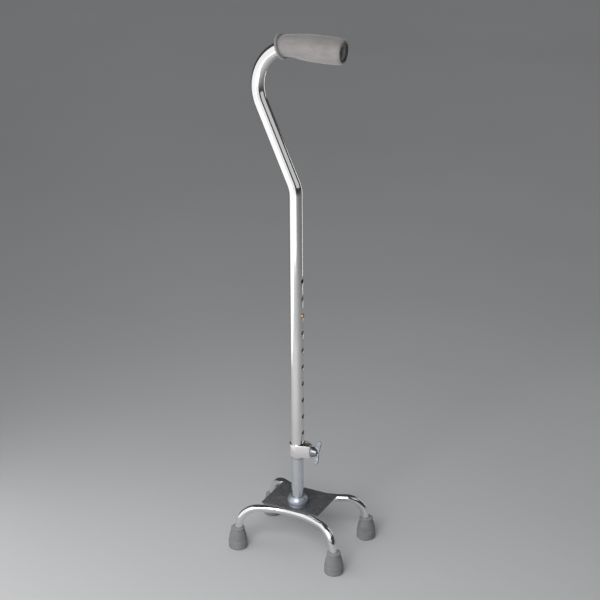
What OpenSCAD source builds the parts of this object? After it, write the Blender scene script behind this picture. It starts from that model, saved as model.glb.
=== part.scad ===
// Quad walking cane: a swan-neck handle tube that telescopes on a four-footed base.
// Millimetres, +Z up. The origin is on the floor at the middle of the four feet.
// +X is the way the grip points, and the stem stands nearer the -Y feet.

/* [Base] */
// Distance between the feet along X, centre to centre
foot_span_x = 153; // [146:1:165]
// Distance between the feet along Y, centre to centre
foot_span_y = 106; // [100:1:112]
// Length of the base plate along X
plate_l = 88; // [80:1:92]
// Width of the base plate along Y
plate_w = 64; // [60:1:70]
// Thickness of the base plate
plate_t = 2; // [1.5:0.5:3]
// Height of the plate's top face above the floor
plate_top_z = 70.5; // [66:0.5:80]
// Outside diameter of the leg tubes
leg_d = 11; // [10:0.5:11.5]
// Middle of the plate along X
plate_x = -3.5; // [-5:0.5:0]
// Middle of the plate along Y
plate_y = -2; // [-3:0.5:0]
// Where the stem stands along X
stem_x = 2.5; // [0:0.5:6]
// Where the stem stands along Y
stem_y = -18.2; // [-18.4:0.1:-16]

/* [Stem] */
// Outside diameter of the handle tube
upper_d = 19; // [18.5:0.1:19.5]
// Wall of the handle tube
upper_wall = 0.9; // [0.8:0.05:1]
// Wall of the lower tube
lower_wall = 1.2; // [1:0.1:1.4]
// Distance between two height holes
hole_pitch = 25.4; // [25.4:0.1:26]
// Number of height holes
hole_count = 10; // [6:1:10]
// Diameter of the height holes
hole_d = 6.5; // [6:0.1:7]
// Which hole the button stands in, counted from the top
hole_in_use = 3; // [2:1:4]
// Height of the button above the floor
button_z = 366.8; // [360:0.1:372]
// Height of the handle tube's lower end above the floor
upper_bottom_z = 150; // [147:1:152]

/* [Handle] */
// Height at which the handle tube starts to bend
neck_z = 539; // [530:1:545]
// Lean of the straight part of the swan neck
neck_lean = 24; // [20:1:26]
// Radius of the lower bend
neck_low_r = 40; // [36:1:46]
// Radius of the upper bend
neck_top_r = 58.7; // [55:0.1:60]
// Length of the straight part between the bends
neck_straight = 112; // [100:0.5:116]
// How far the grip's end stands in front of the stem
grip_end_x = 70; // [68:0.5:74]
// Largest diameter of the grip
grip_d = 35; // [33:0.5:37]

/* [Hidden] */
$fn = 96;
gap = 0.05;              // room between pieces that are pushed into each other
slide_gap = 0.05;        // radial room between the two stem tubes
lap = 0.4;               // how far a straight stretch of tube runs into the bend next to it
ease = 0.04;             // how much slimmer its wall is there, on each side, so that the two never share a surface
moving_gap = 0.3;        // room between pieces that move past each other

// feet
tip_h = 32;
tip_r = 13.5;
tip_band_h = 13.5;
tip_rim_r = 9.5;
tip_floor = 7;
tip_washer_t = 1.2;
tip_washer_r = 5;

// legs: a shallow bow under the plate, then a bend down into each tip
leg_r = leg_d / 2;
leg_wall = 1.2;
leg_z = plate_top_z - plate_t - leg_r;
leg_lean = 10;           // how far the straight ends lean out from upright
leg_bend_r = 27;
leg_cross_z = 24;        // height at which a leg's axis meets its tip's axis
leg_end_z = 9.8;
bow_half_x = 44;         // the bow's half length
bow_angle = 24;          // the way the legs head outwards in plan
bow_r = bow_half_x / sin(bow_angle);
bow_rise = bow_r * (1 - cos(bow_angle));
leg_drop = leg_bend_r * (1 - sin(leg_lean));
leg_lean_run = (leg_z - leg_drop - leg_cross_z) * tan(leg_lean);
leg_reach = leg_bend_r * cos(leg_lean) + leg_lean_run;
foot_x = foot_span_x / 2;
foot_y = foot_span_y / 2;
bend_x = foot_x - leg_reach * cos(bow_angle);
bend_y = foot_y - leg_reach * sin(bow_angle);
ramp_l = (bend_x - bow_half_x) / cos(bow_angle);
bow_y = bend_y - ramp_l * sin(bow_angle) - bow_rise;
weld_r = 1.8;
weld_angle = 7;          // length of a weld bead, as an angle on the bow
weld_at = 13;            // where its middle sits, on either side of the bow's middle
weld_in = sqrt((leg_r + weld_r) * (leg_r + weld_r) - leg_r * leg_r) + 0.02;

// stem
upper_r = upper_d / 2;
upper_bore_r = upper_r - upper_wall;
lower_r = upper_bore_r - slide_gap;
lower_bore_r = lower_r - lower_wall;
lower_bottom_z = plate_top_z + 0.5;
lower_top_z = button_z + 19;
collar_h = 12;
plug_h = 14;
socket_h = 16.8;
bolt_r = 3;
bolt_head_r = 4.8;
bolt_head_h = 4;
bolt_washer_t = 1;
top_hole_z = button_z + (hole_in_use - 1) * hole_pitch;

// snap button
button_r = hole_d / 2 - 0.15;
button_out = 2.2;
leaf_t = 0.6;
leaf_w = 7;
leaf_l = 46;
leaf_x = 4.6;
button_flange_r = 3.7;
button_flange_t = 0.8;

// clamp
strap_t = 1.4;
strap_h = 18;
strap_bottom_z = upper_bottom_z + 3;
strap_r = upper_r + moving_gap;
nose_x = 22;
nose_half_w = 4.4;
nut_t = 4.5;
screw_z = strap_bottom_z + strap_h / 2;
screw_r = 2.5;
screw_pitch = 1;
pad_t = 2.6;
wing_tilt = 23;
wing_span = 32;

// handle
neck_top = [-neck_low_r * (1 - cos(neck_lean)), neck_z + neck_low_r * sin(neck_lean)];
arc_start = neck_top + neck_straight * [-sin(neck_lean), cos(neck_lean)];
arc_centre = arc_start + neck_top_r * [cos(neck_lean), sin(neck_lean)];
grip_z = arc_centre[1] + neck_top_r;
tube_end_x = grip_end_x - 3.5;
grip_r = grip_d / 2;
grip_start_x = -13;      // where the grip's straight body begins
grip_start_drop = 1.6;   // how far the groove behind it has dropped there with the bent tube
grip_tilt = 17;          // how far the flange at its end leans with the tube
groove_r = 12.3;
flange_at = 4.2;         // from the start of the body back to the flange
flange_r = 16.8;
flange_t = 2.8;
recess_r = grip_r - 4.1;
recess_depth = 3;

// ---------- shared shapes ----------

// moves a shape from the stem's own axes to its place on the base
module at_stem() {
    translate([stem_x, stem_y, 0]) children();
}

// a straight stretch of tube along +Z
module straight_tube(r, bore, h) {
    linear_extrude(h) difference() {
        circle(r);
        circle(bore);
    }
}

// a straight stretch that runs a little way into the bends at its two ends
module lapped_tube(r, bore, h) {
    translate([0, 0, -lap]) linear_extrude(h + 2 * lap) difference() {
        circle(r - ease);
        if (bore > 0) circle(bore + ease);
    }
}

// a bend that starts at the origin along +Z and turns towards +X, or towards -X when its angle is negative;
// its round edges start on the +X side, like a straight stretch's, so that neighbours match
module bent_tube(r, bore, bend, angle) {
    side = angle > 0 ? 1 : -1;
    half_turn = angle > 0 ? 180 : 0;
    translate([side * bend, 0, 0]) rotate([90, 0, 0]) rotate_extrude(angle = -angle, start = half_turn)
        translate([bend, 0]) rotate(half_turn) difference() {
            circle(r);
            if (bore > 0) circle(bore);
        }
}

// carries its children to the end of such a bend
module past_bend(bend, angle) {
    side = angle > 0 ? 1 : -1;
    translate([side * bend * (1 - cos(angle)), 0, side * bend * sin(angle)]) rotate([0, angle, 0]) children();
}

// a cylinder along +X that starts at x = from
module rod_x(from, length, r) {
    translate([from, 0, 0]) rotate([0, 90, 0]) cylinder(r = r, h = length);
}

// ---------- base ----------

module base_plate() {
    color("dimgray") difference() {
        translate([plate_x - plate_l / 2, plate_y - plate_w / 2, plate_top_z - plate_t])
            cube([plate_l, plate_w, plate_t]);
        at_stem() translate([0, 0, plate_top_z - plate_t - 1]) cylinder(r = bolt_r + 0.3, h = plate_t + 2);
    }
}

// the cast socket that the lower tube stands in: a low foot, a swelling ring and a rounded top
module stem_socket() {
    ring_z = 10.2;
    ring_r = 14.7;
    foot_r = 13;
    top_r = 10;
    color("slategray") at_stem() translate([0, 0, plate_top_z]) difference() {
        rotate_extrude() polygon([[0, 0], [foot_r, 0], [foot_r, ring_z - 5.2], [ring_r - 0.3, ring_z - 2.6],
            [ring_r, ring_z], [ring_r - 1.1, ring_z + 2.7], [top_r, socket_h], [0, socket_h]]);
        translate([0, 0, 0.5]) cylinder(r = lower_r + gap, h = socket_h);
        translate([0, 0, -1]) cylinder(r = bolt_r + 0.3, h = 3);
    }
}

// hexagon bolt from under the plate into the plug
module stem_bolt() {
    head_z = plate_top_z - plate_t - bolt_washer_t - bolt_head_h;
    color("silver") at_stem() translate([0, 0, head_z]) {
        cylinder(r = bolt_head_r, h = bolt_head_h, $fn = 6);
        cylinder(r = bolt_r, h = bolt_head_h + bolt_washer_t + plate_t + 0.5 + plug_h - 1);
    }
}

module stem_lock_washer() {
    color("silver") at_stem() translate([0, 0, plate_top_z - plate_t - bolt_washer_t])
        straight_tube(bolt_head_r + 0.3, bolt_r + gap, bolt_washer_t);
}

// threaded plug in the foot of the lower tube
module stem_plug() {
    color("gray") at_stem() translate([0, 0, lower_bottom_z])
        straight_tube(lower_bore_r - gap, bolt_r + gap, plug_h);
}

module lower_tube() {
    color("lightslategray") at_stem() difference() {
        translate([0, 0, lower_bottom_z]) straight_tube(lower_r, lower_bore_r, lower_top_z - lower_bottom_z);
        translate([0, 0, button_z]) rod_x(lower_bore_r - 2, 5, button_r + 0.1);
    }
}

// one leg from the end of the bow out and down to its tip
module leg_end(r, bore) {
    foot_l = (leg_z - leg_drop - leg_end_z) / cos(leg_lean);
    translate([bow_half_x, bow_rise, 0]) rotate([0, 0, bow_angle]) rotate([0, 90, 0]) {
        lapped_tube(r, bore, ramp_l);
        translate([0, 0, ramp_l]) {
            bent_tube(r, bore, leg_bend_r, 90 - leg_lean);
            past_bend(leg_bend_r, 90 - leg_lean) lapped_tube(r, bore, foot_l - lap);
        }
    }
}

// a whole leg tube on the +Y side: the bow under the plate and a leg at each end
module leg_tube() {
    bore = leg_r - leg_wall;
    translate([0, bow_y, leg_z]) {
        translate([0, bow_r, 0]) rotate_extrude(angle = 2 * bow_angle, start = -90 - bow_angle)
            translate([bow_r, 0]) rotate(-90) difference() {
                circle(leg_r);
                circle(bore);
            }
        leg_end(leg_r, bore);
        mirror([1, 0, 0]) leg_end(leg_r, bore);
    }
}

module rear_leg_tube() {
    color("gainsboro") leg_tube();
}

module front_leg_tube() {
    color("gainsboro") mirror([0, 1, 0]) leg_tube();
}

// beads along the inner side of each bow that join it to the plate's underside
module leg_welds() {
    color("darkgray") for (side = [0, 1], end = [-1, 1]) mirror([0, side, 0])
        translate([0, bow_y + bow_r, leg_z + leg_r])
            rotate_extrude(angle = weld_angle, start = -90 + end * weld_at - weld_angle / 2)
                translate([bow_r + weld_in, 0]) intersection() {
                    circle(weld_r);
                    translate([-weld_r, -weld_r]) square([2 * weld_r, weld_r]);
                }
}

// rubber tip on the floor at the origin; its bore leans with the leg towards +X
module tip() {
    color("gray") difference() {
        rotate_extrude() polygon([[0, 0], [tip_r - 1, 0], [tip_r, 1.2], [tip_r - 0.2, tip_band_h - 1],
            [tip_r - 0.5, tip_band_h], [tip_r - 0.9, tip_band_h], [tip_r - 1.6, tip_h - 11.5],
            [tip_rim_r - 0.1, tip_h - 3.4], [tip_rim_r + 0.2, tip_h - 2.8], [tip_rim_r + 0.2, tip_h - 0.6],
            [tip_rim_r - 0.2, tip_h], [0, tip_h]]);
        translate([0, 0, tip_floor]) cylinder(r = tip_washer_r + gap, h = 4);
        translate([0, 0, leg_cross_z]) rotate([0, -leg_lean, 0])
            translate([0, 0, -(leg_cross_z - leg_end_z) / cos(leg_lean) - 0.05]) cylinder(r = leg_r + gap, h = 40);
    }
}

// places a tip under the end of its leg
module foot(side_x, side_y) {
    translate([side_x * foot_x, side_y * foot_y, 0]) mirror([side_x < 0 ? 1 : 0, 0, 0])
        mirror([0, side_y < 0 ? 1 : 0, 0]) rotate([0, 0, bow_angle]) children();
}

module tip_washers() {
    color("silver") for (side_x = [-1, 1], side_y = [-1, 1]) foot(side_x, side_y)
        translate([0, 0, tip_floor]) cylinder(r = tip_washer_r, h = tip_washer_t);
}

// ---------- height lock ----------

// plastic guide in the top of the lower tube
module guide_bushing() {
    color("silver") at_stem() translate([0, 0, lower_top_z]) difference() {
        union() {
            cylinder(r = lower_r, h = collar_h);
            translate([0, 0, -10]) cylinder(r = lower_bore_r - gap, h = 10.5);
        }
        translate([0, 0, -11]) cylinder(r = lower_bore_r - 2, h = 11 + collar_h - 2);
    }
}

// V-shaped leaf that pushes the button out
module snap_spring() {
    back_x = -lower_bore_r + 1.6;
    low = -leaf_l;
    color("tan") at_stem() translate([0, leaf_w / 2, button_z]) rotate([90, 0, 0]) linear_extrude(leaf_w)
        polygon([[leaf_x, 6], [leaf_x - leaf_t, 6], [-leaf_t * 0.8, low + 3], [back_x + leaf_t, 2],
            [back_x, 2], [-1.8, low], [0.6, low], [leaf_x, -2]]);
}

module snap_button() {
    dome = 1;
    color("peru") at_stem() translate([0, 0, button_z]) {
        rod_x(leaf_x + 0.02, button_flange_t, button_flange_r);
        rod_x(leaf_x + 0.02, upper_r + button_out - dome - leaf_x, button_r);
        translate([upper_r + button_out - dome, 0, 0]) rotate([0, 90, 0])
            cylinder(r1 = button_r, r2 = button_r - dome, h = dome);
    }
}

// ---------- clamp ----------

// the strap's form: a ring round the tube drawn out to a square nose
module strap_form(r, tip_x, half_w, h) {
    reach = norm([tip_x, half_w]);
    touch_r = r - 0.05;
    touch = acos(touch_r / reach) + atan(half_w / tip_x);
    cylinder(r = r, h = h);
    linear_extrude(h) polygon([[0, 0], touch_r * [cos(touch), sin(touch)], [tip_x, half_w],
        [tip_x, -half_w], touch_r * [cos(touch), -sin(touch)]]);
}

module clamp_strap() {
    color("whitesmoke") at_stem() difference() {
        translate([0, 0, strap_bottom_z]) difference() {
            strap_form(strap_r + strap_t, nose_x, nose_half_w, strap_h);
            translate([0, 0, -1]) strap_form(strap_r, nose_x - strap_t, nose_half_w - strap_t, strap_h + 2);
        }
        translate([0, 0, screw_z]) rod_x(nose_x - 4, 6, screw_r + moving_gap);
    }
}

// threaded block that fills the end of the nose
module clamp_nut() {
    front = nose_x - strap_t - gap;
    back = front - nut_t;
    front_w = nose_half_w - strap_t - 0.1;
    slope = 0.28;
    color("darkgray") at_stem() difference() {
        translate([0, 0, screw_z - 6]) linear_extrude(12)
            polygon([[front, front_w], [front, -front_w], [back, -front_w - slope * nut_t],
                [back, front_w + slope * nut_t]]);
        translate([0, 0, screw_z]) rod_x(back - 1, nut_t + 2, screw_r + gap);
    }
}

// saddle that the screw presses on the tube
module pressure_pad() {
    color("black") at_stem() translate([0, 0, screw_z]) difference() {
        intersection() {
            rod_x(upper_r - 3, 3 + moving_gap + pad_t, 5.5);
            translate([0, -4.6, -5]) cube([30, 9.2, 10]);
        }
        translate([0, 0, -10]) cylinder(r = upper_r + moving_gap, h = 20);
        rod_x(upper_r + moving_gap + pad_t - 1.2, 5, screw_r + gap);
    }
}

module wing_screw() {
    boss_x = nose_x + moving_gap;
    boss_l = 5.5;
    wing_x = boss_x + boss_l + 1.5;
    wing_t = 3.2;
    ear_r = 3.8;
    shaft_x = upper_r + moving_gap + pad_t - 1.1;
    color("darkgray") at_stem() translate([0, 0, screw_z]) rotate([-wing_tilt, 0, 0]) {
        rod_x(shaft_x, boss_x + 1 - shaft_x, screw_r);
        translate([boss_x, 0, 0]) rotate([0, 90, 0]) {
            cylinder(r = 7.3, h = 2.4);
            translate([0, 0, 2.4]) cylinder(r1 = 7, r2 = 5, h = boss_l - 2.4 + 3);
        }
        translate([0, wing_t / 2, 0]) rotate([90, 0, 0]) linear_extrude(wing_t) {
            for (side = [-1, 1]) {
                translate([wing_x + 1.6, side * (wing_span / 2 - ear_r)]) circle(ear_r);
                polygon([[wing_x - 3.2, side * 3], [wing_x + 5, side * 3],
                    [wing_x + 1.6 + ear_r * 0.95, side * (wing_span / 2 - ear_r - 0.6)],
                    [wing_x + 1.6 - ear_r * 0.95, side * (wing_span / 2 - ear_r - 0.6)]]);
            }
            translate([wing_x - 3.2, -3.1]) square([8.2, 6.2]);
        }
    }
}

// ---------- handle ----------

// the handle tube's path as a solid or hollow sweep of radius r, from z = low upwards
module neck_sweep(r, bore, low, end_x) {
    translate([0, 0, low + lap]) lapped_tube(r, bore, neck_z - low - lap);
    translate([0, 0, neck_z]) {
        bent_tube(r, bore, neck_low_r, -neck_lean);
        past_bend(neck_low_r, -neck_lean) {
            lapped_tube(r, bore, neck_straight);
            translate([0, 0, neck_straight]) {
                bent_tube(r, bore, neck_top_r, 90 + neck_lean);
                past_bend(neck_top_r, 90 + neck_lean) lapped_tube(r, bore, end_x - arc_centre[0] - lap);
            }
        }
    }
}

module upper_tube() {
    color("gainsboro") at_stem() difference() {
        neck_sweep(upper_r, upper_bore_r, upper_bottom_z, tube_end_x);
        for (i = [0 : hole_count - 1]) translate([0, 0, top_hole_z - i * hole_pitch])
            rod_x(-upper_r - 1, upper_d + 2, hole_d / 2);
    }
}

// outline of the grip's body: [distance along the axis, radius]
function body_outline() = [[grip_start_x - 0.6, 0], [grip_start_x - 0.6, 12.6], [grip_start_x + 0.6, grip_r - 3.7],
    [-7, grip_r - 3.1], [0, grip_r - 2.7], [7, grip_r - 2], [14, grip_r - 1], [23, grip_r - 0.3], [33, grip_r],
    [48, grip_r - 0.1], [58, grip_r - 0.4], [65, grip_r - 0.8], [grip_end_x - 3, grip_r - 1.2],
    [grip_end_x - 1, grip_r - 2], [grip_end_x, grip_r - 3.2], [grip_end_x, 0]];

// the body's leaning end, the groove and the flange, measured from the start of the body
function flange_outline() = [[2.5, 0], [2.5, grip_r - 3.4], [-0.6, grip_r - 3.4], [-1.4, grip_r - 4.2],
    [-1.4, groove_r], [-flange_at, groove_r], [-flange_at, flange_r - 0.8],
    [-flange_at - 0.8, flange_r], [-flange_at - flange_t + 0.8, flange_r], [-flange_at - flange_t, flange_r - 0.8],
    [-flange_at - flange_t, 0]];

// turns an outline of [distance, radius] points about the X axis
module turned_x(outline) {
    rotate([0, 90, 0]) rotate_extrude() polygon([for (p = outline) [p[1], p[0]]]);
}

module handgrip() {
    color("gray") at_stem() difference() {
        union() {
            translate([0, 0, grip_z]) turned_x(body_outline());
            translate([grip_start_x, 0, grip_z - grip_start_drop]) rotate([0, -grip_tilt, 0])
                turned_x(flange_outline());
        }
        neck_sweep(upper_r + gap, 0, neck_z, grip_end_x + 1);
        translate([0, 0, grip_z]) rod_x(grip_end_x - recess_depth, 5, recess_r);
    }
}

// cap in the open end of the handle tube
module tube_end_plug() {
    color("black") at_stem() translate([0, 0, grip_z]) {
        rod_x(tube_end_x - 12, 12.8, upper_bore_r - gap);
        rod_x(grip_end_x - recess_depth + 0.05, 1.9, recess_r - 0.3);
    }
}

base_plate();
stem_socket();
stem_bolt();
stem_lock_washer();
stem_plug();
lower_tube();
front_leg_tube();
rear_leg_tube();
leg_welds();
foot(-1, -1) tip();  // tip_front_left
foot(1, -1) tip();  // tip_front_right
foot(-1, 1) tip();  // tip_rear_left
foot(1, 1) tip();  // tip_rear_right
tip_washers();
guide_bushing();
snap_spring();
snap_button();
clamp_strap();
clamp_nut();
pressure_pad();
wing_screw();
upper_tube();
handgrip();
tube_end_plug();
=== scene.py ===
from math import acos, atan, cos, hypot, pi, radians, sin, sqrt, tan

import bmesh
import bpy
from mathutils import Matrix, Vector


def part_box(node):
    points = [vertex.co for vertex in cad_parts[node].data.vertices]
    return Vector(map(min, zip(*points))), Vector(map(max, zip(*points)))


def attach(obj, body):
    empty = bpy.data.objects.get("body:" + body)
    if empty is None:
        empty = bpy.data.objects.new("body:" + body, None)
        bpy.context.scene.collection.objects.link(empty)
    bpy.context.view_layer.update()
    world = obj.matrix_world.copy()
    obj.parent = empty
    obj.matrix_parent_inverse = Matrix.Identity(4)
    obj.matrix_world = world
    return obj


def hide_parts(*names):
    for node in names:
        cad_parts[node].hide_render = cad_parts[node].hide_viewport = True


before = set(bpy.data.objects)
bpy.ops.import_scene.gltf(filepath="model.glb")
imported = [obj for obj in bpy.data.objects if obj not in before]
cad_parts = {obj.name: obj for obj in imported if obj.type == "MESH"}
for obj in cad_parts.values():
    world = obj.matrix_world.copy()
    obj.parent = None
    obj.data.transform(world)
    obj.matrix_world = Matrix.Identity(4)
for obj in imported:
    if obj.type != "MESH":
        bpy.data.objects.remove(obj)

bpy.context.view_layer.update()

MM = 0.001

# base
STEM = Vector((2.5, -18.2, 0))
PLATE_TOP = 70.5
PLATE_T = 2
FOOT_X = 76.5
FOOT_Y = 53
LEG_R = 5.5
LEG_WALL = 1.2
LEG_Z = PLATE_TOP - PLATE_T - LEG_R
LEG_LEAN = radians(10)
LEG_BEND_R = 27
LEG_CROSS_Z = 24
LEG_END_Z = 9.8
BOW_HALF_X = 44
BOW_ANGLE = radians(24)
BOW_R = BOW_HALF_X / sin(BOW_ANGLE)
LEG_DROP = LEG_BEND_R * (1 - sin(LEG_LEAN))
LEG_REACH = LEG_BEND_R * cos(LEG_LEAN) + (LEG_Z - LEG_DROP - LEG_CROSS_Z) * tan(LEG_LEAN)
RAMP_L = (FOOT_X - LEG_REACH * cos(BOW_ANGLE) - BOW_HALF_X) / cos(BOW_ANGLE)
BOW_Y = FOOT_Y - (LEG_REACH + RAMP_L) * sin(BOW_ANGLE) - BOW_R * (1 - cos(BOW_ANGLE))

# handle tube
UPPER_R = 9.5
UPPER_BORE = 8.6
UPPER_BOTTOM_Z = 150
NECK_Z = 539
NECK_LEAN = radians(24)
NECK_LOW_R = 40
NECK_TOP_R = 58.7
NECK_STRAIGHT = 112
GRIP_END_X = 70
TUBE_END_X = GRIP_END_X - 3.5
HOLE_R = 3.25
HOLE_PITCH = 25.4
BUTTON_Z = 366.8
TOP_HOLE_Z = BUTTON_Z + 2 * HOLE_PITCH
HOLE_COUNT = 10
HOLE_EDGE = 0.12

# grip and end plug
GRIP_LEAN = radians(17)
GRIP_RECESS = 3
END_PLUG_R = 8.5
END_CAP_R = 13.1
END_CAP_T = 1.9

# clamp
STRAP_Z = UPPER_BOTTOM_Z + 3
STRAP_H = 18
STRAP_T = 1.4
STRAP_R = UPPER_R + 0.3
NOSE_X = 22
NOSE_HALF_W = 4.4
SCREW_Z = STRAP_Z + STRAP_H / 2
SCREW_HOLE_R = 2.8
WING_TILT = radians(23)

# painted shade on the lower tube: near black, fading in between these heights and full above them, in metres,
# standing in for the shade seen through the height holes
SHADE_PAINT_FROM = 0.146
SHADE_PAINT_FULL = 0.152


# ---------- meshes ----------

def new_object(name, verts, faces):
    """An object from points in millimetres, with its normals turned outwards."""
    mesh = bpy.data.meshes.new(name)
    mesh.from_pydata([Vector(v) * MM for v in verts], [], faces)
    bm = bmesh.new()
    bm.from_mesh(mesh)
    bmesh.ops.recalc_face_normals(bm, faces=bm.faces)
    bm.to_mesh(mesh)
    bm.free()
    obj = bpy.data.objects.new(name, mesh)
    bpy.context.scene.collection.objects.link(obj)
    return obj


def loft(name, rows, closed_rows=True):
    """A skin over rows of points. Each row is a closed ring; a row of one point is a pole."""
    verts = []
    starts = []
    for row in rows:
        starts.append(len(verts))
        verts.extend(row)
    faces = []
    pairs = list(zip(range(len(rows) - 1), range(1, len(rows))))
    if closed_rows:
        pairs.append((len(rows) - 1, 0))
    for a, b in pairs:
        n = max(len(rows[a]), len(rows[b]))
        for i in range(n):
            j = (i + 1) % n
            quad = [starts[a] + i % len(rows[a]), starts[a] + j % len(rows[a]),
                    starts[b] + j % len(rows[b]), starts[b] + i % len(rows[b])]
            face = [v for k, v in enumerate(quad) if v not in quad[:k]]
            if len(face) > 2:
                faces.append(face)
    return new_object(name, verts, faces)


def ring(centre, u, v, ru, rv=None, count=96):
    """Points of a circle or ellipse about centre, in the plane of u and v."""
    rv = ru if rv is None else rv
    angles = [2 * pi * i / count for i in range(count)]
    return [centre + u * (ru * cos(angle)) + v * (rv * sin(angle)) for angle in angles]


def rounded(outline, radius, steps=4):
    """The outline with its inner corners eased by about this radius."""
    points = [Vector(p) for p in outline]
    out = [points[0]]
    for before, corner, after in zip(points, points[1:], points[2:]):
        back = before - corner
        ahead = after - corner
        reach = min(radius, 0.45 * back.length, 0.45 * ahead.length)
        start = corner + back.normalized() * reach
        end = corner + ahead.normalized() * reach
        for k in range(steps + 1):
            t = k / steps
            out.append(start * (1 - t) ** 2 + corner * (2 * t * (1 - t)) + end * t ** 2)
    out.append(points[-1])
    return out


def lathe(name, outline, axis="z", at=(0, 0, 0), count=96):
    """Turns [distance, radius] points about an axis through at. Radius 0 makes a pole."""
    at = Vector(at)
    ends = {"z": (Vector((0, 0, 1)), Vector((1, 0, 0)), Vector((0, 1, 0))),
            "x": (Vector((1, 0, 0)), Vector((0, 1, 0)), Vector((0, 0, 1)))}
    along, u, v = ends[axis]
    rows = []
    for distance, radius in outline:
        centre = at + along * distance
        rows.append(ring(centre, u, v, radius, count=count) if radius > 0 else [centre])
    return loft(name, rows, closed_rows=outline[0][1] > 0)


class Path:
    """A line drawn by going straight and bending, kept as points with their frames."""

    def __init__(self, start, heading, side):
        self.place = Vector(start)
        self.heading = Vector(heading)
        self.side = Vector(side)
        self.stops = [(self.place.copy(), self.heading.copy(), self.side.copy())]

    def keep(self):
        self.stops.append((self.place.copy(), self.heading.copy(), self.side.copy()))

    def straight(self, length, step=8):
        count = max(1, round(length / step))
        for _ in range(count):
            self.place = self.place + self.heading * (length / count)
            self.keep()
        return self

    def bend(self, radius, angle, toward, step=radians(2)):
        toward = Vector(toward)
        count = max(2, round(angle / step))
        axis = self.heading.cross(toward).normalized()
        turn = Matrix.Rotation(angle / count, 3, axis)
        for _ in range(count):
            centre = self.place + toward * radius
            self.place = centre + turn @ (self.place - centre)
            self.heading = turn @ self.heading
            self.side = turn @ self.side
            toward = turn @ toward
            self.keep()
        return self


def tube(name, stops, outer, bore, count=64):
    """A hollow tube along a path's stops."""
    outside = [ring(p, s, h.cross(s), outer, count=count) for p, h, s in stops]
    inside = [ring(p, s, h.cross(s), bore, count=count) for p, h, s in reversed(stops)]
    return loft(name, outside + inside)


def mirrored(stops, x=1, y=1):
    """A path's stops reflected in the planes across X and Y."""
    flip = Vector((x, y, 1))
    return [(p * flip, h * flip, s * flip) for p, h, s in stops]


def joined(name, parts):
    """One object from several meshes."""
    bm = bmesh.new()
    for part in parts:
        bm.from_mesh(part.data)
        bpy.data.objects.remove(part)
    mesh = bpy.data.meshes.new(name)
    bm.to_mesh(mesh)
    bm.free()
    obj = bpy.data.objects.new(name, mesh)
    bpy.context.scene.collection.objects.link(obj)
    return obj


def apply_modifiers(obj):
    """Puts the modifiers' result into the object's own mesh."""
    shape = obj.evaluated_get(bpy.context.evaluated_depsgraph_get())
    mesh = bpy.data.meshes.new_from_object(shape)
    obj.modifiers.clear()
    obj.data = mesh
    return obj


def cut(obj, cutter, edge=0.0):
    """Takes the cutter's shape out of obj, then eases the new edges by edge millimetres."""
    boolean = obj.modifiers.new("cut", "BOOLEAN")
    boolean.object = cutter
    boolean.solver = "EXACT"
    if edge > 0:
        ease = obj.modifiers.new("ease", "BEVEL")
        ease.width = edge * MM
        ease.segments = 2
        ease.limit_method = "ANGLE"
        ease.angle_limit = radians(50)
    apply_modifiers(obj)
    bpy.data.objects.remove(cutter)
    return obj


def melted(obj, voxel, smooth_times=4):
    """Melts overlapping forms into one cast form."""
    remesh = obj.modifiers.new("melt", "REMESH")
    remesh.mode = "VOXEL"
    remesh.voxel_size = voxel * MM
    soften = obj.modifiers.new("soften", "SMOOTH")
    soften.factor = 0.5
    soften.iterations = smooth_times
    return apply_modifiers(obj)


def smooth(obj, angle=40):
    """Smooth shading with edges sharper than angle kept crisp."""
    obj.data.shade_smooth()
    obj.data.set_sharp_from_angle(angle=radians(angle))
    return obj


def finished(obj, body, node, material, angle=40):
    """Hands a piece over: shading, body, the CAD node it stands for, and its material."""
    smooth(obj, angle)
    obj.data.materials.clear()
    obj.data.materials.append(material)
    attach(obj, body)
    if node:
        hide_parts(node)
    return obj


# ---------- materials ----------

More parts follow.
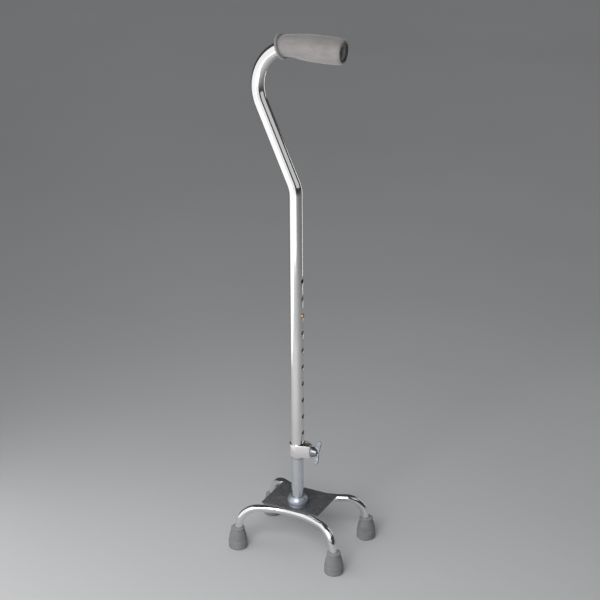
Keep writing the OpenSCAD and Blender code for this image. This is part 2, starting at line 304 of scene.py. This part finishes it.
class Nodes:
    """Short ways to add shader nodes to one material."""

    def __init__(self, name):
        self.material = bpy.data.materials.new(name)
        self.material.use_nodes = True
        self.tree = self.material.node_tree
        self.shader = self.tree.nodes["Principled BSDF"]
        self.place = self.tree.nodes.new("ShaderNodeTexCoord").outputs["Object"]

    def link(self, source, target):
        self.tree.links.new(source, target)

    def stretched(self, x, y, z):
        """Object coordinates scaled on each axis, in cycles per metre."""
        mapping = self.tree.nodes.new("ShaderNodeMapping")
        mapping.inputs["Scale"].default_value = (x, y, z)
        self.link(self.place, mapping.inputs["Vector"])
        return mapping.outputs["Vector"]

    def noise(self, scale, detail=3.0, roughness=0.5, vector=None):
        node = self.tree.nodes.new("ShaderNodeTexNoise")
        node.inputs["Scale"].default_value = scale
        node.inputs["Detail"].default_value = detail
        node.inputs["Roughness"].default_value = roughness
        self.link(vector or self.place, node.inputs["Vector"])
        return node.outputs["Fac"]

    def cells(self, scale, feature="F1"):
        node = self.tree.nodes.new("ShaderNodeTexVoronoi")
        node.feature = feature
        node.inputs["Scale"].default_value = scale
        self.link(self.place, node.inputs["Vector"])
        return node.outputs["Distance"]

    def ranged(self, source, low, high, to_low, to_high):
        node = self.tree.nodes.new("ShaderNodeMapRange")
        for name, value in (("From Min", low), ("From Max", high), ("To Min", to_low), ("To Max", to_high)):
            node.inputs[name].default_value = value
        self.link(source, node.inputs["Value"])
        return node.outputs["Result"]

    def mixed(self, fac, first, second):
        """A colour between first and second; each is a colour or an output."""
        node = self.tree.nodes.new("ShaderNodeMix")
        node.data_type = "RGBA"
        self.link(fac, node.inputs["Factor"])
        for name, value in (("A", first), ("B", second)):
            socket = next(s for s in node.inputs if s.name == name and s.type == "RGBA")
            if isinstance(value, tuple):
                socket.default_value = (*value, 1)
            else:
                self.link(value, socket)
        return next(s for s in node.outputs if s.type == "RGBA")

    def added(self, first, second, factor=1.0):
        """first plus factor times second."""
        node = self.tree.nodes.new("ShaderNodeMath")
        node.operation = "MULTIPLY_ADD"
        self.link(second, node.inputs[0])
        node.inputs[1].default_value = factor
        self.link(first, node.inputs[2])
        return node.outputs[0]

    def height(self):
        """The height above the floor, in metres."""
        node = self.tree.nodes.new("ShaderNodeSeparateXYZ")
        self.link(self.place, node.inputs[0])
        return node.outputs["Z"]

    def edges(self, low=0.5, high=0.6):
        """1 on worn outer edges, 0 on flats."""
        node = self.tree.nodes.new("ShaderNodeNewGeometry")
        return self.ranged(node.outputs["Pointiness"], low, high, 0, 1)

    def bump(self, height, strength, distance_mm):
        node = self.tree.nodes.new("ShaderNodeBump")
        node.inputs["Strength"].default_value = strength
        node.inputs["Distance"].default_value = distance_mm * MM
        self.link(height, node.inputs["Height"])
        self.link(node.outputs["Normal"], self.shader.inputs["Normal"])

    def put(self, socket, value):
        if isinstance(value, (int, float)):
            self.shader.inputs[socket].default_value = value
        elif isinstance(value, tuple):
            self.shader.inputs[socket].default_value = (*value, 1)
        else:
            self.link(value, self.shader.inputs[socket])


def chrome(name, tint, rough_low, rough_high):
    """Polished plating with faint smears, dust and fine lengthwise polishing lines."""
    n = Nodes(name)
    smears = n.noise(35, 5, 0.6)
    lines = n.noise(1, 2, 0.5, n.stretched(1400, 1400, 25))
    n.put("Metallic", 1.0)
    n.put("Base Color", n.mixed(n.ranged(smears, 0.35, 0.7, 0, 1), tint, tuple(c * 0.93 for c in tint)))
    n.put("Roughness", n.ranged(n.added(smears, lines, 0.4), 0.45, 0.95, rough_low, rough_high))
    n.bump(n.added(n.noise(60, 2), lines, 0.15), 0.06, 0.1)
    return n.material


def satin_metal(name, tint, dark, rough_low, rough_high, lines_x, lines_z):
    """Drawn or brushed metal with lines along one way and a little staining."""
    n = Nodes(name)
    lines = n.noise(1, 3, 0.6, n.stretched(lines_x, lines_x, lines_z))
    stains = n.noise(45, 5, 0.6)
    n.put("Metallic", 1.0)
    n.put("Base Color", n.mixed(n.ranged(n.added(stains, lines, 0.5), 0.5, 1.05, 0, 1), tint, dark))
    n.put("Roughness", n.ranged(n.added(lines, stains, 0.6), 0.5, 1.1, rough_low, rough_high))
    n.bump(lines, 0.08, 0.1)
    return n.material


def lower_tube_metal():
    """Satin tube with painted shade from the handle tube's mouth up: near black, so that the height holes
    look dark.
    """
    n = Nodes("lower_tube_satin")
    lines = n.noise(1, 3, 0.6, n.stretched(900, 900, 14))
    stains = n.noise(50, 4, 0.6)
    stained = n.ranged(n.added(stains, lines, 0.5), 0.5, 1.05, 0, 1)
    unshaded_metal = n.mixed(stained, (0.74, 0.76, 0.8), (0.6, 0.62, 0.66))
    # painted shade: near black and less metallic above the handle tube's mouth, standing in for the shade
    # inside the height holes
    painted_shade = n.ranged(n.height(), SHADE_PAINT_FROM, SHADE_PAINT_FULL, 0, 1)
    n.put("Metallic", n.ranged(painted_shade, 0, 1, 1.0, 0.3))
    n.put("Base Color", n.mixed(painted_shade, unshaded_metal, (0.035, 0.035, 0.037)))
    n.put("Roughness", n.ranged(n.added(lines, painted_shade, 0.6), 0.3, 1.2, 0.16, 0.42))
    n.bump(lines, 0.08, 0.1)
    return n.material


def hammered_enamel():
    """Charcoal hammer-finish enamel: shallow dimples, with edges rubbed a little paler."""
    n = Nodes("plate_hammered")
    dimples = n.cells(260, feature="SMOOTH_F1")
    fine = n.noise(1400, 3)
    patches = n.noise(40, 4)
    worn = n.ranged(n.added(dimples, patches, 0.6), 0.3, 1.0, 0, 1)
    paint = n.mixed(worn, (0.07, 0.07, 0.075), (0.16, 0.16, 0.17))
    n.put("Base Color", n.mixed(n.edges(0.52, 0.62), paint, (0.16, 0.16, 0.165)))
    n.put("Metallic", 0.25)
    n.put("Roughness", n.ranged(n.added(patches, fine, 0.3), 0.4, 0.9, 0.36, 0.52))
    n.bump(n.added(dimples, fine, 0.12), 0.45, 0.5)
    return n.material


def cast_coating():
    """Blue-grey satin coating over a casting, with soft pitting."""
    n = Nodes("socket_coating")
    pits = n.noise(420, 4, 0.6)
    cloud = n.noise(70, 4)
    n.put("Base Color", n.mixed(n.ranged(cloud, 0.35, 0.7, 0, 1), (0.44, 0.47, 0.54), (0.33, 0.36, 0.42)))
    n.put("Metallic", 0.65)
    n.put("Roughness", n.ranged(n.added(cloud, pits, 0.4), 0.4, 1.0, 0.3, 0.46))
    n.bump(pits, 0.18, 0.25)
    return n.material


def cast_zinc():
    """Tumbled zinc casting, paler where fingers rub its edges."""
    n = Nodes("wing_zinc")
    grain = n.noise(900, 4, 0.65)
    cloud = n.noise(150, 4)
    body = n.mixed(n.ranged(cloud, 0.3, 0.7, 0, 1), (0.36, 0.37, 0.4), (0.24, 0.25, 0.28))
    n.put("Base Color", n.mixed(n.edges(0.52, 0.64), body, (0.55, 0.56, 0.59)))
    n.put("Metallic", 1.0)
    n.put("Roughness", n.ranged(n.added(cloud, grain, 0.5), 0.45, 1.1, 0.28, 0.5))
    n.bump(grain, 0.2, 0.15)
    return n.material


def grip_skin():
    """Warm grey soft grip: fine open grain, faint lengthwise mottling and a little sheen."""
    n = Nodes("grip_skin")
    grain = n.noise(1500, 4, 0.7)
    pores = n.cells(1100)
    mottle = n.noise(1, 5, 0.6, n.stretched(60, 110, 110))
    base = n.mixed(n.ranged(mottle, 0.3, 0.7, 0, 1), (0.26, 0.247, 0.242), (0.205, 0.195, 0.192))
    n.put("Base Color", n.mixed(n.ranged(pores, 0.0, 0.35, 0.35, 0), base, (0.13, 0.125, 0.12)))
    n.put("Roughness", n.ranged(n.added(mottle, grain, 0.4), 0.45, 0.95, 0.62, 0.82))
    n.put("Sheen Weight", 0.5)
    n.put("Sheen Roughness", 0.45)
    n.bump(n.added(grain, pores, 0.8), 0.35, 0.25)
    return n.material


def rubber(name, light, dark):
    """Moulded rubber: fine skin, cloudy tone and scuffed edges."""
    n = Nodes(name)
    skin = n.noise(1100, 4, 0.6)
    cloud = n.noise(90, 5, 0.6)
    body = n.mixed(n.ranged(cloud, 0.3, 0.7, 0, 1), light, dark)
    n.put("Base Color", n.mixed(n.edges(0.51, 0.62), body, tuple(min(1, c * 1.5) for c in light)))
    n.put("Roughness", n.ranged(n.added(cloud, skin, 0.4), 0.4, 1.0, 0.55, 0.8))
    n.bump(skin, 0.25, 0.2)
    return n.material


def plastic(name, light, dark, rough_low=0.4, rough_high=0.6):
    """Moulded plastic with a fine spark-eroded grain."""
    n = Nodes(name)
    grain = n.noise(1600, 3, 0.6)
    cloud = n.noise(80, 3)
    n.put("Base Color", n.mixed(n.ranged(cloud, 0.3, 0.7, 0, 1), light, dark))
    n.put("Roughness", n.ranged(n.added(cloud, grain, 0.4), 0.4, 1.0, rough_low, rough_high))
    n.bump(grain, 0.15, 0.1)
    return n.material


def weld_metal():
    """Heat-tinted bead: brown and blue staining over rippled steel."""
    n = Nodes("weld_metal")
    heat = n.noise(260, 4, 0.6)
    grain = n.noise(1500, 3)
    n.put("Base Color", n.mixed(n.ranged(heat, 0.3, 0.7, 0, 1), (0.42, 0.36, 0.3), (0.2, 0.22, 0.28)))
    n.put("Metallic", 1.0)
    n.put("Roughness", n.ranged(n.added(heat, grain, 0.4), 0.4, 1.0, 0.3, 0.55))
    n.bump(grain, 0.2, 0.1)
    return n.material


def floor_paper():
    """Pale seamless paper with a barely visible tooth."""
    n = Nodes("floor_paper")
    tooth = n.noise(700, 3)
    cloud = n.noise(1.5, 2)
    n.put("Base Color", n.mixed(n.ranged(cloud, 0.3, 0.7, 0, 1), (0.62, 0.625, 0.63), (0.58, 0.585, 0.59)))
    n.put("Roughness", n.ranged(tooth, 0.3, 0.7, 0.8, 0.9))
    n.bump(tooth, 0.05, 0.1)
    return n.material


MAT = {
    "tube_chrome": chrome("tube_chrome_look", (0.86, 0.85, 0.85), 0.05, 0.14),
    "leg_chrome": chrome("leg_chrome_look", (0.84, 0.84, 0.85), 0.04, 0.12),
    "lower_tube_alloy": lower_tube_metal(),
    "plate_enamel": hammered_enamel(),
    "socket_enamel": cast_coating(),
    "wing_zinc": cast_zinc(),
    "strap_nickel": satin_metal("strap_look", (0.93, 0.91, 0.91), (0.84, 0.81, 0.81), 0.24, 0.38, 60, 900),
    "zinc_fastener": satin_metal("fastener_look", (0.62, 0.62, 0.6), (0.4, 0.4, 0.38), 0.28, 0.45, 300, 300),
    "plug_alloy": satin_metal("plug_look", (0.6, 0.6, 0.6), (0.45, 0.45, 0.45), 0.3, 0.45, 60, 900),
    "spring_steel": satin_metal("spring_look", (0.36, 0.34, 0.32), (0.2, 0.2, 0.22), 0.25, 0.4, 700, 30),
    "button_brass": satin_metal("button_look", (0.8, 0.5, 0.27), (0.6, 0.34, 0.16), 0.25, 0.4, 400, 400),
    "weld_steel": weld_metal(),
    "tip_rubber": rubber("tip_look", (0.25, 0.25, 0.265), (0.19, 0.19, 0.2)),
    "grip_vinyl": grip_skin(),
    "bushing_nylon": plastic("bushing_look", (0.2, 0.2, 0.2), (0.16, 0.16, 0.16)),
    "pad_nylon": plastic("pad_look", (0.045, 0.045, 0.047), (0.03, 0.03, 0.032)),
    "plug_plastic": plastic("end_plug_look", (0.05, 0.048, 0.05), (0.03, 0.03, 0.03), 0.3, 0.5),
}


# ---------- base ----------

def leg_path():
    """Half a leg tube, from the middle of its bow outwards and down into the tip, on the +X +Y side."""
    foot_l = (LEG_Z - LEG_DROP - LEG_END_Z) / cos(LEG_LEAN)
    path = Path((0, BOW_Y, LEG_Z), (1, 0, 0), (0, 0, 1))
    path.bend(BOW_R, BOW_ANGLE, (0, 1, 0))
    path.straight(RAMP_L, 2)
    path.bend(LEG_BEND_R, pi / 2 - LEG_LEAN, (0, 0, -1))
    path.straight(foot_l)
    return path.stops


def make_legs():
    half = leg_path()
    other = [(p, -h, s) for p, h, s in reversed(mirrored(half, x=-1)[1:])]
    whole = other + half
    for node, side in (("rear_leg_tube", 1), ("front_leg_tube", -1)):
        leg = tube(node + "_bent", mirrored(whole, y=side), LEG_R, LEG_R - LEG_WALL, count=48)
        finished(leg, "base", node, MAT["leg_chrome"])


def make_welds():
    """Rippled beads along the inner side of each bow."""
    bead_r = 1.75
    bead_at = 13
    bead_span = 7
    ripples = 7
    count = 64
    reach = BOW_R + sqrt((LEG_R + bead_r) ** 2 - LEG_R ** 2)
    beads = []
    for side in (-1, 1):
        for end in (-1, 1):
            rows = []
            for k in range(count + 1):
                t = k / count
                angle = radians(-90 + end * bead_at - bead_span / 2 + bead_span * t)
                ripple = 1 - 0.16 * abs(sin(ripples * pi * t)) ** 0.5 if 0 < k < count else 0.35
                centre = Vector((reach * cos(angle), BOW_Y + BOW_R + reach * sin(angle), LEG_Z + LEG_R))
                out = Vector((cos(angle), sin(angle), 0))
                rows.append(ring(centre, out, Vector((0, 0, 1)), bead_r * ripple, count=20))
            rows = [[Vector((p.x, side * p.y, min(p.z, LEG_Z + LEG_R))) for p in row] for row in rows]
            middle = [sum(row, Vector()) / len(row) for row in (rows[0], rows[-1])]
            beads.append(loft("bead", [[middle[0]]] + rows + [[middle[1]]], closed_rows=False))
    finished(joined("weld_beads", beads), "base", "leg_welds", MAT["weld_steel"], 60)


def make_plate():
    """The CAD plate's box with rounded corners and eased rims."""
    corner = 0.9
    rim = 0.3
    lo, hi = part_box("base_plate")
    bm = bmesh.new()
    bmesh.ops.create_cube(bm, size=1.0)
    for v in bm.verts:
        v.co = Vector([lo[i] + (v.co[i] + 0.5) * (hi[i] - lo[i]) for i in range(3)])
    upright = [e for e in bm.edges if abs(e.verts[0].co.z - e.verts[1].co.z) > 0.5 * PLATE_T * MM]
    bmesh.ops.bevel(bm, geom=upright, offset=corner * MM, segments=4, profile=0.5, affect="EDGES")
    rims = [e for e in bm.edges if len(e.link_faces) == 2 and e.calc_face_angle() > radians(60)]
    bmesh.ops.bevel(bm, geom=rims, offset=rim * MM, segments=3, profile=0.5, affect="EDGES")
    mesh = bpy.data.meshes.new("plate_pressed")
    bm.to_mesh(mesh)
    bm.free()
    plate = bpy.data.objects.new("plate_pressed", mesh)
    bpy.context.scene.collection.objects.link(plate)
    finished(plate, "base", "base_plate", MAT["plate_enamel"], 35)


def make_socket():
    """Cast collar that swells to a ring and narrows to its mouth."""
    height = 16.7
    bore_r = 8.7
    foot_r = 13
    outline = rounded([(0, bore_r), (0.02, foot_r), (5, foot_r), (7.6, 14.5), (10.4, 14.7), (13, 13.6),
                       (height, 10.4), (height, bore_r), (0.5, bore_r)], 1.6, 6)
    socket = lathe("socket_cast", outline, "z", (STEM.x, STEM.y, PLATE_TOP), 128)
    finished(socket, "base", "stem_socket", MAT["socket_enamel"], 60)


def make_bolt():
    """Hexagon head with a chamfered face, and its shank."""
    head_r = 4.8
    head_h = 4
    shank_r = 3
    shank_top = 20
    washer_t = 1
    bottom = PLATE_TOP - PLATE_T - washer_t - head_h
    at = Vector((STEM.x, STEM.y, bottom))
    count = 72
    rows = [[at]]
    flat_r = head_r * cos(pi / 6)
    uncut = head_r * 1.05
    for z, limit in ((0, flat_r * 0.93), (0.12, flat_r * 0.97), (0.75, uncut), (head_h, uncut)):
        row = []
        for i in range(count):
            angle = 2 * pi * i / count
            hexagon = flat_r / cos((angle + pi / 6) % (pi / 3) - pi / 6)
            r = min(hexagon, limit)
            row.append(at + Vector((r * cos(angle), r * sin(angle), z)))
        rows.append(row)
    for z in (head_h, shank_top):
        rows.append(ring(at + Vector((0, 0, z)), Vector((1, 0, 0)), Vector((0, 1, 0)), shank_r, count=count))
    rows.append([at + Vector((0, 0, shank_top))])
    bolt = loft("bolt_hex", rows, closed_rows=False)
    finished(bolt, "base", "stem_bolt", MAT["zinc_fastener"], 30)


def make_tips():
    """Stepped rubber tips with a ringed tread; each bore leans with its leg."""
    count = 80
    groove = 1.0
    bore_r = LEG_R + 0.05
    outside = [(groove, 3.4), (0, 3.8), (0, 6.4), (groove, 6.8), (groove, 8.2), (0, 8.6), (0, 12.5),
               (1.4, 13.5), (12.7, 13.35), (13.1, 12.9), (13.5, 12.3), (14.1, 12.75), (20.5, 11.9),
               (28.4, 9.5), (28.9, 9.3), (29.3, 9.7), (31.6, 9.7), (32, 8.9)]
    corners = (("front_left", -1, -1), ("front_right", 1, -1), ("rear_left", -1, 1), ("rear_right", 1, 1))
    for name, sx, sy in corners:
        u = Vector((sx * cos(BOW_ANGLE), sy * sin(BOW_ANGLE), 0))
        v = Vector((-sx * sin(BOW_ANGLE), sy * cos(BOW_ANGLE), 0))
        foot = Vector((sx * FOOT_X, sy * FOOT_Y, 0))
        rows = [[foot + Vector((0, 0, groove))]]
        for z, r in rounded(outside, 0.7, 3):
            rows.append(ring(foot + Vector((0, 0, z)), u, v, r, count=count))
        for z in (31.8, 26, LEG_END_Z - 0.3):
            centre = foot + Vector((0, 0, z)) - u * ((z - LEG_CROSS_Z) * tan(LEG_LEAN))
            rows.append(ring(centre, u, v, bore_r / cos(LEG_LEAN), bore_r, count=count))
        rows.append([rows[-1][0] * 0.5 + rows[-1][count // 2] * 0.5])
        tip = loft("rubber_tip_" + name, rows, closed_rows=False)
        finished(tip, "base", "tip_" + name, MAT["tip_rubber"], 50)


# ---------- clamp ----------

def strap_loop(r, tip_x, half_w, corner):
    """The strap's plan outline: round the tube and out to a squared nose with eased corners."""
    steps = 120
    reach = hypot(tip_x, half_w)
    touch = acos(r / reach) + atan(half_w / tip_x)
    points = []
    for k in range(steps + 1):
        angle = touch + (2 * pi - 2 * touch) * k / steps
        points.append(Vector((r * cos(angle), r * sin(angle))))
    nose = [points[-1], Vector((tip_x, -half_w)), Vector((tip_x, half_w)), points[0]]
    eased = rounded(nose, corner, 8)
    return points + eased[1:-1]


def make_strap():
    """Band round the tube with a squared nose, eased edges and the screw's hole."""
    outer = strap_loop(STRAP_R + STRAP_T, NOSE_X, NOSE_HALF_W, 2.2)
    inner = strap_loop(STRAP_R, NOSE_X - STRAP_T, NOSE_HALF_W - STRAP_T, 1.0)
    ease = 0.35
    rows = []
    for o, i in zip(outer, inner):
        d = (i - o).normalized()
        row = []
        for base, sign in ((0, 1), (STRAP_H, -1)):
            side_z = base + sign * ease
            edge_z = base + sign * ease * 0.3
            level = [(o, side_z), (o + d * ease * 0.3, edge_z), (o + d * ease, base),
                     (i - d * ease, base), (i - d * ease * 0.3, edge_z), (i, side_z)]
            row.extend(level if sign > 0 else reversed(level))
        rows.append([Vector((STEM.x + p.x, STEM.y + p.y, STRAP_Z + z)) for p, z in row])
    strap = loft("strap_pressed", rows)
    hole = [(NOSE_X - 4, 0), (NOSE_X - 4, SCREW_HOLE_R), (NOSE_X + 4, SCREW_HOLE_R), (NOSE_X + 4, 0)]
    cut(strap, lathe("hole", hole, "x", (STEM.x, STEM.y, SCREW_Z), 48))
    finished(strap, "clamp", "clamp_strap", MAT["strap_nickel"], 45)


def slab(name, outline, thickness):
    """A flat form with its outline in X and Z, centred on Y."""
    rows = [[Vector((x, y, z)) for x, z in outline] for y in (-thickness / 2, thickness / 2)]
    middle = [sum(row, Vector()) / len(row) for row in rows]
    return loft(name, [[middle[0]]] + rows + [[middle[1]]], closed_rows=False)


def make_wing_screw():
    """Cast boss and two wings melted together, and a threaded shank."""
    boss_x = NOSE_X + 0.3
    wing_x = boss_x + 7
    wing_span = 32
    ear_r = 3.8
    ear_z = wing_span / 2 - ear_r
    ear_t = 3.4
    web_t = 2.9
    boss = lathe("boss", rounded([(boss_x, 0), (boss_x, 7.2), (boss_x + 2.4, 7.3), (boss_x + 3.2, 6.8),
                                  (boss_x + 6.5, 5.6), (boss_x + 9.2, 4.6), (boss_x + 9.8, 0)], 0.8), "x")
    parts = [boss]
    for side in (-1, 1):
        ear = [(wing_x + 1.6 + ear_r * cos(2 * pi * k / 40), side * ear_z + ear_r * sin(2 * pi * k / 40))
               for k in range(40)]
        parts.append(slab("ear", ear, ear_t))
        web = [(wing_x - 3.6, side * 1.0), (wing_x + 4.4, side * 1.0), (wing_x + 4.9, side * 6.0),
               (wing_x + 5.2, side * ear_z), (wing_x - 2.0, side * ear_z), (wing_x - 2.6, side * 6.5)]
        parts.append(slab("web", web, web_t))
    head = melted(joined("wing_screw_head", parts), 0.32, 5)
    tip_x = 11.35
    root_r = 2.16
    thread_h = 0.32
    tip_r = 1.95
    step = 0.1
    count = 40
    rows = [[Vector((tip_x, 0, 0))]]
    for k in range(120):
        x = tip_x + k * step
        row = []
        for i in range(count):
            # one turn of thread a millimetre, after a short tapered tip
            phase = (x - i / count) % 1.0
            r = root_r + thread_h * abs(2 * phase - 1) if k > 3 else tip_r + 0.05 * k
            angle = 2 * pi * i / count
            row.append(Vector((x, r * cos(angle), r * sin(angle))))
        rows.append(row)
    rows.append([Vector((tip_x + 12, 0, 0))])
    shank = loft("wing_screw_shank", rows, closed_rows=False)
    place = Matrix.Translation(Vector((STEM.x, STEM.y, SCREW_Z)) * MM) @ Matrix.Rotation(-WING_TILT, 4, "X")
    for piece in (head, shank):
        piece.data.transform(place)
    finished(head, "wing_screw", "wing_screw", MAT["wing_zinc"], 60)
    finished(shank, "wing_screw", None, MAT["zinc_fastener"], 60)


def make_button():
    """Domed head of the snap button, with its flange inside the tube."""
    out = UPPER_R + 2.2
    back = 4.62
    flange_r = 3.7
    stem_r = 3.08
    outline = rounded([(back, 0), (back, flange_r), (5.42, flange_r), (5.42, stem_r), (out - 1.3, stem_r),
                       (out - 0.35, 2.3), (out, 0.9), (out, 0)], 0.5, 5)
    button = lathe("button_domed", outline, "x", (STEM.x, STEM.y, BUTTON_Z), 48)
    finished(button, "button", "snap_button", MAT["button_brass"], 50)


# ---------- handle ----------

def neck_path():
    """The handle tube's centre line, from its lower end to the end of the grip."""
    path = Path((STEM.x, STEM.y, UPPER_BOTTOM_Z), (0, 0, 1), (0, 1, 0))
    path.straight(NECK_Z - UPPER_BOTTOM_Z, 10)
    path.bend(NECK_LOW_R, NECK_LEAN, (-1, 0, 0))
    path.straight(NECK_STRAIGHT, 10)
    path.bend(NECK_TOP_R, pi / 2 + NECK_LEAN, (cos(NECK_LEAN), 0, sin(NECK_LEAN)))
    path.straight(STEM.x + TUBE_END_X - path.place.x, 10)
    return path.stops


def make_upper_tube():
    """Swan-neck tube with the height holes through both walls."""
    handle = tube("handle_tube", neck_path(), UPPER_R, UPPER_BORE, count=96)
    half_l = 12
    rod = [(-half_l, 0), (-half_l, HOLE_R), (half_l, HOLE_R), (half_l, 0)]
    rods = []
    for k in range(HOLE_COUNT):
        rods.append(lathe("rod", rod, "x", (STEM.x, STEM.y, TOP_HOLE_Z - k * HOLE_PITCH), 40))
    cut(handle, joined("rods", rods), HOLE_EDGE)
    finished(handle, "handle", "upper_tube", MAT["tube_chrome"], 35)


def make_grip():
    """Soft grip: a flanged end that leans with the tube, a groove, and a swelling body with a dished end."""
    stops = neck_path()
    grip_z = stops[-1][0].z
    side = Vector((0, 1, 0))
    flange_r = 16.8
    groove_r = 12.35
    rows = []
    # points of the flange and groove: distance along the leaning axis, and radius
    flange = [(-7, 14.6), (-7, flange_r), (-4.2, flange_r), (-4.2, groove_r), (-1.5, groove_r),
              (-1.5, 14), (1, 14.1)]
    for along, r in rounded(flange, 0.9, 5):
        centre = Vector((STEM.x - 13 + along * cos(GRIP_LEAN), STEM.y, grip_z - 1.6 + along * sin(GRIP_LEAN)))
        rows.append(ring(centre, side, Vector((-sin(GRIP_LEAN), 0, cos(GRIP_LEAN))), r))
    half_lean = GRIP_LEAN / 2
    rows.append(ring(Vector((STEM.x - 6.5, STEM.y, grip_z - 0.5)), side,
                     Vector((-sin(half_lean), 0, cos(half_lean))), 14.35))
    # points of the body and its dished end: distance along the grip, and radius
    body = [(0, 14.8), (7, 15.5), (14, 16.5), (23, 17.2), (33, 17.5), (48, 17.4), (58, 17.1), (65, 16.7),
            (67.4, 16.2), (GRIP_END_X - 0.4, 15.1), (GRIP_END_X, 14.4), (GRIP_END_X, 13.5),
            (GRIP_END_X - GRIP_RECESS, 13.4), (GRIP_END_X - GRIP_RECESS, 9.7)]
    for x, r in rounded(body, 1.2, 4):
        rows.append(ring(Vector((STEM.x + x, STEM.y, grip_z)), side, Vector((0, 0, 1)), r))
    bore_end = STEM.x + GRIP_END_X - 4
    for p, h, s in [stop for stop in reversed(stops) if grip_z - 5 < stop[0].z and stop[0].x < bore_end]:
        rows.append(ring(p, side, h.cross(side) * -1, UPPER_R + 0.06))
    grip = loft("grip_soft", rows)
    finished(grip, "handle", "handgrip", MAT["grip_vinyl"], 60)


def make_end_plug():
    """Dished cap with a raised middle, pushed into the tube's end."""
    inner_end = TUBE_END_X - 12
    back = GRIP_END_X - GRIP_RECESS + 0.05
    face = back + END_CAP_T
    dish = face - 1.0
    boss = face - 0.3
    outline = rounded([(inner_end, 0), (inner_end, END_PLUG_R), (back, END_PLUG_R), (back, END_CAP_R),
                       (face, END_CAP_R), (face, 11.6), (dish, 10.8), (dish, 6.2), (boss, 5.4), (boss, 0)],
                      0.5, 4)
    plug = lathe("end_plug_dished", outline, "x", (STEM.x, STEM.y, neck_path()[-1][0].z), 96)
    finished(plug, "handle", "tube_end_plug", MAT["plug_plastic"], 50)


make_legs()
make_welds()
make_plate()
make_socket()
make_bolt()
make_tips()
make_strap()
make_wing_screw()
make_button()
make_upper_tube()
make_grip()
make_end_plug()

# the CAD nodes shown as they are
for node, slot in (("lower_tube", "lower_tube_alloy"), ("guide_bushing", "bushing_nylon"),
                   ("snap_spring", "spring_steel"), ("clamp_nut", "zinc_fastener"),
                   ("pressure_pad", "pad_nylon"), ("stem_lock_washer", "zinc_fastener"),
                   ("stem_plug", "plug_alloy"), ("tip_washers", "zinc_fastener")):
    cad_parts[node].material_slots[0].material = MAT[slot]


# ---------- floor, light and camera ----------

def make_floor():
    """A pale sheet just under the feet, 18 m across."""
    half = 9000
    below = -0.2
    corners = [Vector((x, y, below)) for x, y in ((-half, -half), (half, -half), (half, half), (-half, half))]
    floor = new_object("floor_sheet", corners, [[0, 1, 2, 3]])
    floor.data.materials.append(floor_paper())


def panel(name, place, facing, width, height, glow):
    """A soft panel at place, facing a point, in metres; glow is its brightness, 1 being paper white."""
    data = bpy.data.lights.new(name, "AREA")
    data.shape = "RECTANGLE"
    data.size = width
    data.size_y = height
    data.energy = glow * pi * width * height
    lamp = bpy.data.objects.new(name, data)
    lamp.location = place
    lamp.rotation_euler = (Vector(facing) - Vector(place)).to_track_quat("-Z", "Y").to_euler()
    bpy.context.scene.collection.objects.link(lamp)
    lamp.visible_camera = False
    return lamp


def beside(right, near, z):
    """A place given from the camera's side: metres to its right, nearer to it, and up."""
    across = 0.89
    along = 0.456
    return Vector((across * right + along * near, along * right - across * near, z))


def make_light():
    """White cards on the left and in front, soft lights above, and two panels seen only in reflections."""
    world = bpy.data.worlds.new("studio_air")
    world.use_nodes = True
    air = world.node_tree.nodes["Background"]
    air.inputs["Color"].default_value = (0.92, 0.96, 1.0, 1)
    air.inputs["Strength"].default_value = 0.06
    bpy.context.scene.world = world
    panel("card_left", beside(-0.62, 0.47, 0.65), beside(0, 0.47, 0.65), 1.26, 1.3, 1.0)
    panel("card_front", beside(-0.2, 0.75, 0.68), beside(0, 0, 0.68), 0.66, 1.1, 0.9)
    panel("front_soft", beside(-0.4, 1.4, 1.3), beside(0, 0, 0), 1.1, 1.0, 5.2)
    wash = panel("back_wash", beside(0, -3.2, 3), beside(0, -3.2, 0), 7, 5, 0.36)
    wash.visible_glossy = False
    strip = panel("strip_right", beside(0.63, -0.49, 0.33), beside(0, 0, 0.33), 0.14, 0.66, 1.5)
    fill = panel("neck_fill", beside(0.61, 0.38, 0.82), beside(0, 0, 0.62), 0.8, 0.5, 0.55)
    for lamp in (strip, fill):
        lamp.visible_diffuse = False


def make_camera():
    """Long lens from the front right, looking a little down and tilted by a third of a degree."""
    place = Vector((0.9965, -1.934, 1.3436))
    aim = Vector((0.0086, -0.0194, 0.3901))
    tilt = -0.00615
    data = bpy.data.cameras.new("view")
    data.sensor_width = 36
    data.lens = 105.18
    data.clip_end = 60
    camera = bpy.data.objects.new("view", data)
    camera.rotation_mode = "QUATERNION"
    look = (aim - place).to_track_quat("-Z", "Y")
    roll = Matrix.Rotation(tilt, 3, "Z").to_quaternion()
    camera.rotation_quaternion = look @ roll
    camera.location = place
    bpy.context.scene.collection.objects.link(camera)
    bpy.context.scene.camera = camera


make_floor()
make_light()
make_camera()
bpy.context.scene.view_settings.view_transform = "Standard"

bpy.context.view_layer.update()
